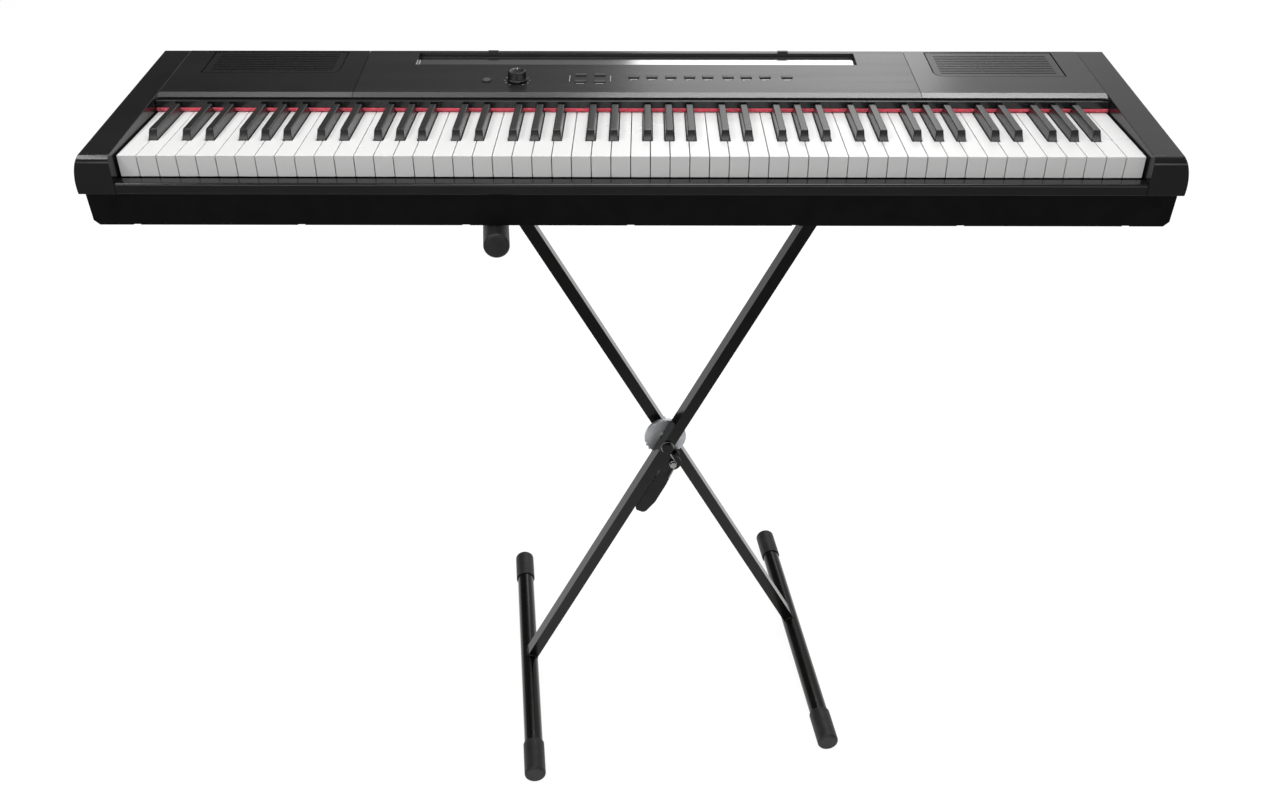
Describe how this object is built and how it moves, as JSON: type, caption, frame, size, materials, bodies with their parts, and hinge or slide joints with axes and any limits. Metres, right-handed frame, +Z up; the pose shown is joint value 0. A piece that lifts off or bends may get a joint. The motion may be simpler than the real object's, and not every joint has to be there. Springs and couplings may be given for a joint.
{
  "type": "digital piano on stand",
  "caption": "Slab digital piano with full-size weighted keys, panel controls and speakers, lying on a height-adjustable folding cross-leg stand with a squeeze-lever lock.",
  "frame": {"origin": "floor level under the centre of the overall box", "axes": "+X along the keyboard to the player's right, +Y away from the player, +Z up"},
  "size_m": [1.317, 0.5666, 0.9768],
  "materials": {
    "stand_paint": "satin black powder coat",
    "stand_rubber": "matte dark rubber",
    "lock_metal": "satin cast metal",
    "bright_steel": "zinc plated",
    "lever_plastic": "satin black",
    "case_plastic": "fine-textured black",
    "end_plastic": "satin dark grey",
    "gloss_plastic": "satin gloss black",
    "panel_plastic": "brushed-look satin black",
    "grille_plastic": "satin black",
    "felt": "red felt",
    "frame_plastic": "moulded grey",
    "speaker_cone": "paper cone and steel basket",
    "circuit_board": "green solder mask",
    "socket_plastic": "moulded black",
    "led_lens": "clear red",
    "white_key": "satin gloss white",
    "black_key": "satin black",
    "knob_plastic": "satin black",
    "button_plastic": "satin dark grey"
  },
  "bodies": {
    "floor_caps": {"left_foot_caps": "stand_rubber"},
    "front_frame": {"left_foot_tube": "stand_paint", "front_leg": "stand_paint", "right_arm_tube": "stand_paint", "pivot_bolt": "stand_paint", "stand_fasteners": "bright_steel", "lever_bracket": "stand_paint", "lever_spring": "bright_steel"},
    "rear_frame": {"right_foot_caps": "stand_rubber", "right_foot_tube": "stand_paint", "rear_leg": "stand_paint", "left_arm_tube": "stand_paint", "left_arm_sleeves": "stand_rubber", "lock_plate": "lock_metal"},
    "arm_sleeves": {"right_arm_sleeves": "stand_rubber"},
    "keyboard": {"bottom_case": "case_plastic", "left_end_block": "end_plastic", "right_end_block": "end_plastic", "control_panel": "panel_plastic", "speaker_panels": "gloss_plastic", "speaker_grilles": "grille_plastic", "key_slip": "end_plastic", "fallboard": "gloss_plastic", "felt_strip": "felt", "key_frame": "frame_plastic", "speakers": "speaker_cone", "circuit_boards": "circuit_board", "jack_sockets": "socket_plastic", "rubber_feet": "stand_rubber", "case_screws": "bright_steel", "power_led": "led_lens"},
    "lever": {"lever_handle": "lever_plastic", "lock_pin": "bright_steel"},
    "c_key_set": {"c_keys": "white_key"},
    "c_sharp_key_set": {"c_sharp_keys": "black_key"},
    "d_key_set": {"d_keys": "white_key"},
    "d_sharp_key_set": {"d_sharp_keys": "black_key"},
    "e_key_set": {"e_keys": "white_key"},
    "f_key_set": {"f_keys": "white_key"},
    "f_sharp_key_set": {"f_sharp_keys": "black_key"},
    "g_key_set": {"g_keys": "white_key"},
    "g_sharp_key_set": {"g_sharp_keys": "black_key"},
    "a_key_set": {"a_keys": "white_key"},
    "a_sharp_key_set": {"a_sharp_keys": "black_key"},
    "b_key_set": {"b_keys": "white_key"},
    "knob": {"volume_knob": "knob_plastic"},
    "power_key": {"power_button": "button_plastic"},
    "mode_1": {"mode_button_1": "button_plastic"},
    "mode_2": {"mode_button_2": "button_plastic"},
    "mode_3": {"mode_button_3": "button_plastic"},
    "mode_4": {"mode_button_4": "button_plastic"},
    "voice_1": {"voice_button_1": "button_plastic"},
    "voice_2": {"voice_button_2": "button_plastic"},
    "voice_3": {"voice_button_3": "button_plastic"},
    "voice_4": {"voice_button_4": "button_plastic"},
    "voice_5": {"voice_button_5": "button_plastic"},
    "voice_6": {"voice_button_6": "button_plastic"},
    "voice_7": {"voice_button_7": "button_plastic"},
    "voice_8": {"voice_button_8": "button_plastic"},
    "voice_9": {"voice_button_9": "button_plastic"}
  },
  "joints": [
    {"name": "stand_height", "type": "hinge", "parent": "floor_caps", "child": "front_frame", "pos_m": [-0.174, -0.03492, 0.016], "axis": [0.1151, -0.9934, 0], "range_deg": [-16, 24]},
    {"name": "leg_pivot", "type": "hinge", "parent": "front_frame", "child": "rear_frame", "pos_m": [0.0505, -0.0089, 0.434], "axis": [0.1151, -0.9934, 0], "range_deg": [-48, 32]},
    {"name": "arm_sleeve_turn", "type": "hinge", "parent": "front_frame", "child": "arm_sleeves", "pos_m": [0.27874, 0.01755, 0.8427], "axis": [0.1151, -0.9934, 0], "range_deg": [-24, 16]},
    {"name": "keyboard_lift_off", "type": "slide", "parent": "arm_sleeves", "child": "keyboard", "axis": [0, 0, 1], "range_m": [0, 0.25]},
    {"name": "lock_lever", "type": "hinge", "parent": "front_frame", "child": "lever", "pos_m": [0.05886, -0.00793, 0.40331], "axis": [0.1151, -0.9934, 0], "range_deg": [0, 18], "stiffness_Nm_per_rad": 2, "springref_deg": -11.46},
    {"name": "c_keys_press", "type": "hinge", "parent": "keyboard", "child": "c_key_set", "pos_m": [0, 0.0757, 0.926], "axis": [1, 0, 0], "range_deg": [0, 2.6], "stiffness_Nm_per_rad": 3, "springref_deg": -20.05},
    {"name": "c_sharp_keys_press", "type": "hinge", "parent": "keyboard", "child": "c_sharp_key_set", "pos_m": [0, 0.0757, 0.926], "axis": [1, 0, 0], "range_deg": [0, 2.6], "stiffness_Nm_per_rad": 3, "springref_deg": -20.05},
    {"name": "d_keys_press", "type": "hinge", "parent": "keyboard", "child": "d_key_set", "pos_m": [0, 0.0757, 0.926], "axis": [1, 0, 0], "range_deg": [0, 2.6], "stiffness_Nm_per_rad": 3, "springref_deg": -20.05},
    {"name": "d_sharp_keys_press", "type": "hinge", "parent": "keyboard", "child": "d_sharp_key_set", "pos_m": [0, 0.0757, 0.926], "axis": [1, 0, 0], "range_deg": [0, 2.6], "stiffness_Nm_per_rad": 3, "springref_deg": -20.05},
    {"name": "e_keys_press", "type": "hinge", "parent": "keyboard", "child": "e_key_set", "pos_m": [0, 0.0757, 0.926], "axis": [1, 0, 0], "range_deg": [0, 2.6], "stiffness_Nm_per_rad": 3, "springref_deg": -20.05},
    {"name": "f_keys_press", "type": "hinge", "parent": "keyboard", "child": "f_key_set", "pos_m": [0, 0.0757, 0.926], "axis": [1, 0, 0], "range_deg": [0, 2.6], "stiffness_Nm_per_rad": 3, "springref_deg": -20.05},
    {"name": "f_sharp_keys_press", "type": "hinge", "parent": "keyboard", "child": "f_sharp_key_set", "pos_m": [0, 0.0757, 0.926], "axis": [1, 0, 0], "range_deg": [0, 2.6], "stiffness_Nm_per_rad": 3, "springref_deg": -20.05},
    {"name": "g_keys_press", "type": "hinge", "parent": "keyboard", "child": "g_key_set", "pos_m": [0, 0.0757, 0.926], "axis": [1, 0, 0], "range_deg": [0, 2.6], "stiffness_Nm_per_rad": 3, "springref_deg": -20.05},
    {"name": "g_sharp_keys_press", "type": "hinge", "parent": "keyboard", "child": "g_sharp_key_set", "pos_m": [0, 0.0757, 0.926], "axis": [1, 0, 0], "range_deg": [0, 2.6], "stiffness_Nm_per_rad": 3, "springref_deg": -20.05},
    {"name": "a_keys_press", "type": "hinge", "parent": "keyboard", "child": "a_key_set", "pos_m": [0, 0.0757, 0.926], "axis": [1, 0, 0], "range_deg": [0, 2.6], "stiffness_Nm_per_rad": 3, "springref_deg": -20.05},
    {"name": "a_sharp_keys_press", "type": "hinge", "parent": "keyboard", "child": "a_sharp_key_set", "pos_m": [0, 0.0757, 0.926], "axis": [1, 0, 0], "range_deg": [0, 2.6], "stiffness_Nm_per_rad": 3, "springref_deg": -20.05},
    {"name": "b_keys_press", "type": "hinge", "parent": "keyboard", "child": "b_key_set", "pos_m": [0, 0.0757, 0.926], "axis": [1, 0, 0], "range_deg": [0, 2.6], "stiffness_Nm_per_rad": 3, "springref_deg": -20.05},
    {"name": "volume_turn", "type": "hinge", "parent": "keyboard", "child": "knob", "pos_m": [-0.1515, 0.0697, 0.96245], "axis": [0, -0.0718, 0.9974], "range_deg": [-150, 150]},
    {"name": "power_press", "type": "slide", "parent": "keyboard", "child": "power_key", "axis": [0, 0.0718, -0.9974], "range_m": [0, 0.0012], "stiffness_N_per_m": 300, "springref_m": -0.001},
    {"name": "mode_1_press", "type": "slide", "parent": "keyboard", "child": "mode_1", "axis": [0, 0.0718, -0.9974], "range_m": [0, 0.0012], "stiffness_N_per_m": 300, "springref_m": -0.001},
    {"name": "mode_2_press", "type": "slide", "parent": "keyboard", "child": "mode_2", "axis": [0, 0.0718, -0.9974], "range_m": [0, 0.0012], "stiffness_N_per_m": 300, "springref_m": -0.001},
    {"name": "mode_3_press", "type": "slide", "parent": "keyboard", "child": "mode_3", "axis": [0, 0.0718, -0.9974], "range_m": [0, 0.0012], "stiffness_N_per_m": 300, "springref_m": -0.001},
    {"name": "mode_4_press", "type": "slide", "parent": "keyboard", "child": "mode_4", "axis": [0, 0.0718, -0.9974], "range_m": [0, 0.0012], "stiffness_N_per_m": 300, "springref_m": -0.001},
    {"name": "voice_1_press", "type": "slide", "parent": "keyboard", "child": "voice_1", "axis": [0, 0.0718, -0.9974], "range_m": [0, 0.0012], "stiffness_N_per_m": 300, "springref_m": -0.001},
    {"name": "voice_2_press", "type": "slide", "parent": "keyboard", "child": "voice_2", "axis": [0, 0.0718, -0.9974], "range_m": [0, 0.0012], "stiffness_N_per_m": 300, "springref_m": -0.001},
    {"name": "voice_3_press", "type": "slide", "parent": "keyboard", "child": "voice_3", "axis": [0, 0.0718, -0.9974], "range_m": [0, 0.0012], "stiffness_N_per_m": 300, "springref_m": -0.001},
    {"name": "voice_4_press", "type": "slide", "parent": "keyboard", "child": "voice_4", "axis": [0, 0.0718, -0.9974], "range_m": [0, 0.0012], "stiffness_N_per_m": 300, "springref_m": -0.001},
    {"name": "voice_5_press", "type": "slide", "parent": "keyboard", "child": "voice_5", "axis": [0, 0.0718, -0.9974], "range_m": [0, 0.0012], "stiffness_N_per_m": 300, "springref_m": -0.001},
    {"name": "voice_6_press", "type": "slide", "parent": "keyboard", "child": "voice_6", "axis": [0, 0.0718, -0.9974], "range_m": [0, 0.0012], "stiffness_N_per_m": 300, "springref_m": -0.001},
    {"name": "voice_7_press", "type": "slide", "parent": "keyboard", "child": "voice_7", "axis": [0, 0.0718, -0.9974], "range_m": [0, 0.0012], "stiffness_N_per_m": 300, "springref_m": -0.001},
    {"name": "voice_8_press", "type": "slide", "parent": "keyboard", "child": "voice_8", "axis": [0, 0.0718, -0.9974], "range_m": [0, 0.0012], "stiffness_N_per_m": 300, "springref_m": -0.001},
    {"name": "voice_9_press", "type": "slide", "parent": "keyboard", "child": "voice_9", "axis": [0, 0.0718, -0.9974], "range_m": [0, 0.0012], "stiffness_N_per_m": 300, "springref_m": -0.001}
  ],
  "couplings": [
    {"joint": "leg_pivot", "follows": "stand_height", "ratio": -2},
    {"joint": "arm_sleeve_turn", "follows": "stand_height", "ratio": -1}
  ]
}
